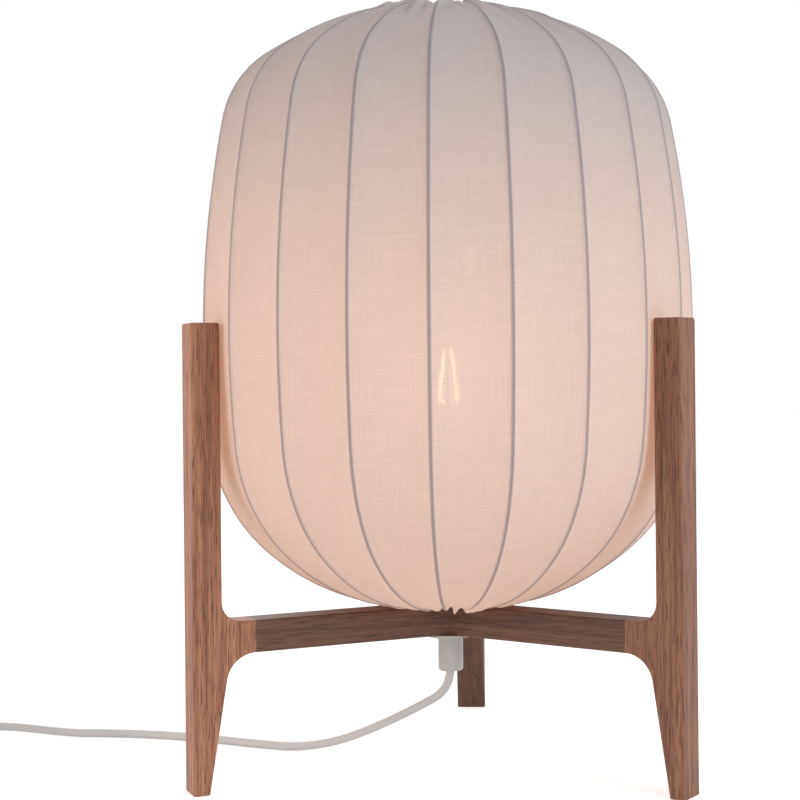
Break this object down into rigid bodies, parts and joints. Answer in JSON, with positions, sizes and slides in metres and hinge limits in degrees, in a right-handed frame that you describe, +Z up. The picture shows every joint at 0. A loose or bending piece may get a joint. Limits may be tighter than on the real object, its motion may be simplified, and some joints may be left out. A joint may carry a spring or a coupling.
{
  "type": "tripod table lamp",
  "caption": "Table lamp with a ribbed fabric shade that sits low between tall oak legs joined by mitred rails; corded, with an inline rocker switch and coiled flex.",
  "frame": {"origin": "middle of the lamp's footprint without its flex, at the level of the feet; the hub's axis is 8.3 mm from it toward -Y", "axes": "+Z up, +Y toward the rear leg, +X right"},
  "size_m": [0.5875, 0.3264, 0.4761],
  "materials": {
    "oak": "walnut-stained oak, matt lacquer",
    "cloth": "ribbed off-white cotton",
    "cage": "light grey lacquered strips and rings",
    "steel": "zinc-plated steel",
    "brass": "brass",
    "white_plastic": "white moulded plastic",
    "cord": "pale grey flexible sheath",
    "glass": "clear glass",
    "filament": "phosphor-coated filament sticks",
    "dark": "dark insulator",
    "beech": "untreated beech dowels"
  },
  "bodies": {
    "lamp": {"leg_left": "oak", "leg_right": "oak", "leg_rear": "oak", "rail_left": "oak", "rail_right": "oak", "rail_rear": "oak", "joint_dowels": "beech", "hub_disc": "white_plastic", "hub_washer": "steel", "hub_nut": "steel", "holder_nut": "steel", "threaded_tube": "steel", "cord_grip": "white_plastic", "grip_screw": "steel", "hub_plate": "steel", "plate_screws": "steel", "holder_cap": "white_plastic", "holder_sleeve": "white_plastic", "contact_block": "white_plastic", "centre_contact": "brass", "socket_liner": "brass", "ring_nut": "white_plastic", "shade_cover": "cloth", "shade_cage": "cage", "shade_collar": "cage", "shade_arms": "cage", "cord_to_switch": "cord", "cord_to_coil": "cord", "cord_coil": "cord", "cord_to_plug": "cord", "switch_base": "white_plastic", "switch_cover": "white_plastic", "plug_relief": "white_plastic", "plug_body": "white_plastic", "plug_pins": "steel"},
    "rocker": {"switch_rocker": "white_plastic"},
    "bulb_foot": {"bulb_contact": "steel"},
    "bulb": {"bulb_insulator": "dark", "bulb_cap": "steel", "bulb_glass": "glass", "bulb_stem": "glass", "bulb_filaments": "filament"}
  },
  "joints": [
    {"name": "switch_rock", "type": "hinge", "parent": "lamp", "child": "rocker", "pos_m": [-0.357, 0.0457, 0.0156], "axis": [0, 1, 0], "range_deg": [-14, 0]},
    {"name": "bulb_lift", "type": "slide", "parent": "lamp", "child": "bulb_foot", "axis": [0, 0, 1], "range_m": [0, 0.0146]},
    {"name": "bulb_turn", "type": "hinge", "parent": "bulb_foot", "child": "bulb", "pos_m": [0, -0.0083, 0.2], "axis": [0, 0, 1], "range_deg": [0, 1440]}
  ],
  "couplings": [
    {"joint": "bulb_lift", "follows": "bulb_turn", "m_per_rad": 0.00057757}
  ]
}
